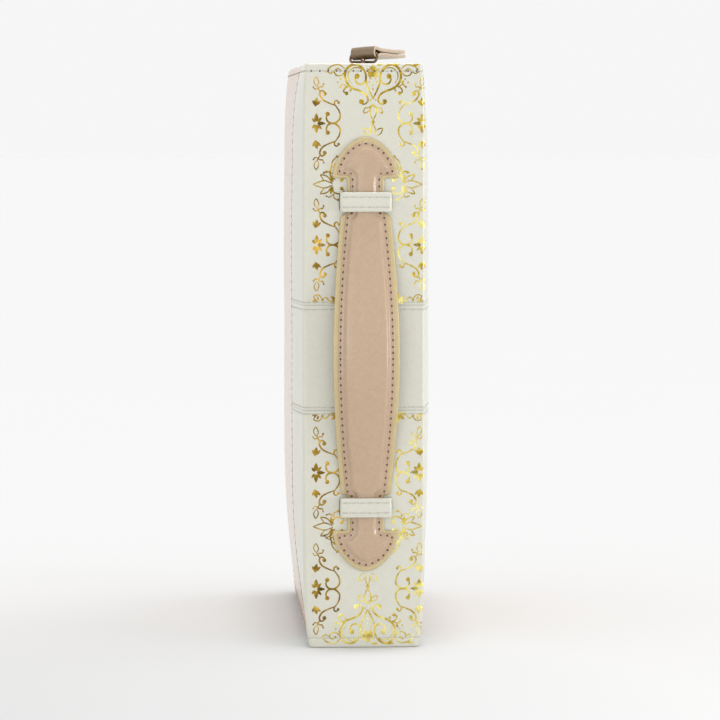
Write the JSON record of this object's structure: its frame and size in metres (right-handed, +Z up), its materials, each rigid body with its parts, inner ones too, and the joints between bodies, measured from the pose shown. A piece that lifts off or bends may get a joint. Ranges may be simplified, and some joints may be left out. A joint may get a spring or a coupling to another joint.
{
  "type": "zip-up prayer book case",
  "caption": "Padded leatherette case that zips round a prayer book, with a sliding strap handle on its spine and stamped gold scrollwork.",
  "frame": {"origin": "middle of the underside of the standing, closed case", "axes": "+Z up the spine, +Y from the spine to the fore edge, +X towards the back cover"},
  "size_m": [0.059, 0.2012, 0.2647],
  "materials": {
    "cream_leather": "soft satin, fine pebble grain",
    "rose_leather": "satin, smooth grain",
    "gold_leather": "satin, faint metallic",
    "gold_foil": "bright stamped foil",
    "thread": "waxed sewing thread",
    "cream_thread": "sewing thread",
    "foam": "soft padding",
    "greyboard": "matt",
    "lining_cloth": "woven, matt",
    "zip_fabric": "woven tape",
    "coil_plastic": "semi-gloss nylon",
    "bronze_metal": "antique, semi-polished",
    "pull_leather": "satin",
    "book_cover": "matt, grained",
    "paper": "matt, thin leaves",
    "ribbon": "satin ribbon"
  },
  "bodies": {
    "spine": {"spine_panel_top": "cream_leather", "spine_band": "cream_leather", "spine_panel_bottom": "cream_leather", "spine_board": "greyboard", "spine_lining": "lining_cloth", "front_hinge_fold": "cream_leather", "back_hinge_fold": "cream_leather", "keeper_top": "cream_leather", "keeper_bottom": "cream_leather", "book_spine": "book_cover", "endband_top": "ribbon", "endband_bottom": "ribbon"},
    "front_cover": {"front_wrap_strip": "cream_leather", "front_panel": "rose_leather", "front_foam": "foam", "front_board": "greyboard", "front_lining": "lining_cloth", "front_book_board": "book_cover", "front_book_sleeve": "lining_cloth", "front_gusset": "cream_leather", "front_zip_tape": "zip_fabric", "front_zip_coil": "coil_plastic", "front_zip_stop": "bronze_metal"},
    "back_cover": {"back_wrap_strip": "cream_leather", "back_panel": "rose_leather", "back_foam": "foam", "back_board": "greyboard", "back_lining": "lining_cloth", "back_book_board": "book_cover", "back_book_sleeve": "lining_cloth", "back_gusset": "cream_leather", "back_zip_tape": "zip_fabric", "back_zip_coil": "coil_plastic", "back_zip_stop": "bronze_metal"},
    "front_pages": {"front_pages": "paper"},
    "back_pages": {"back_pages": "paper", "ribbon_marker": "ribbon"},
    "handle_grip": {"handle_backing": "gold_leather", "handle_core": "foam", "handle_leather": "rose_leather"},
    "handle_top_end": {"handle_top_backing": "gold_leather", "handle_top_leather": "rose_leather"},
    "handle_bottom_end": {"handle_bottom_backing": "gold_leather", "handle_bottom_leather": "rose_leather"},
    "zip_slider": {"zip_slider": "bronze_metal"},
    "pull_ring": {"pull_ring": "bronze_metal"},
    "pull_tab": {"pull_tab": "pull_leather"}
  },
  "joints": [
    {"name": "front_cover_open", "type": "hinge", "parent": "spine", "child": "front_cover", "pos_m": [-0.024, -0.08795, 0.129], "axis": [0, 0, 1], "range_deg": [0, 90]},
    {"name": "back_cover_open", "type": "hinge", "parent": "spine", "child": "back_cover", "pos_m": [0.024, -0.08795, 0.129], "axis": [0, 0, -1], "range_deg": [0, 90]},
    {"name": "front_pages_turn", "type": "hinge", "parent": "spine", "child": "front_pages", "pos_m": [-0.0086, -0.07225, 0.129], "axis": [0, 0, 1], "range_deg": [0, 90]},
    {"name": "back_pages_turn", "type": "hinge", "parent": "spine", "child": "back_pages", "pos_m": [0.0086, -0.07225, 0.129], "axis": [0, 0, -1], "range_deg": [0, 90]},
    {"name": "handle_lift", "type": "slide", "parent": "spine", "child": "handle_grip", "axis": [0, -1, 0], "range_m": [0, 0.022]},
    {"name": "handle_top_slide", "type": "slide", "parent": "handle_grip", "child": "handle_top_end", "axis": [0, 0.9648, -0.2631], "range_m": [0, 0.0229]},
    {"name": "handle_bottom_slide", "type": "slide", "parent": "handle_grip", "child": "handle_bottom_end", "axis": [0, 0.9648, 0.2631], "range_m": [0, 0.0229]},
    {"name": "zip_slide", "type": "slide", "parent": "back_cover", "child": "zip_slider", "axis": [0, 1, 0], "range_m": [0, 0.14]},
    {"name": "ring_swing", "type": "hinge", "parent": "zip_slider", "child": "pull_ring", "pos_m": [0, -0.0798, 0.25865], "axis": [0.891, -0.454, 0], "range_deg": [0, 60]},
    {"name": "tab_swing", "type": "hinge", "parent": "pull_ring", "child": "pull_tab", "pos_m": [0.00096, -0.07792, 0.26262], "axis": [0.891, -0.454, 0], "range_deg": [0, 120]}
  ],
  "couplings": [
    {"joint": "front_pages_turn", "follows": "front_cover_open", "ratio": 1},
    {"joint": "back_pages_turn", "follows": "back_cover_open", "ratio": 1},
    {"joint": "handle_top_slide", "follows": "handle_lift", "ratio": 1.0365},
    {"joint": "handle_bottom_slide", "follows": "handle_lift", "ratio": 1.0365}
  ]
}
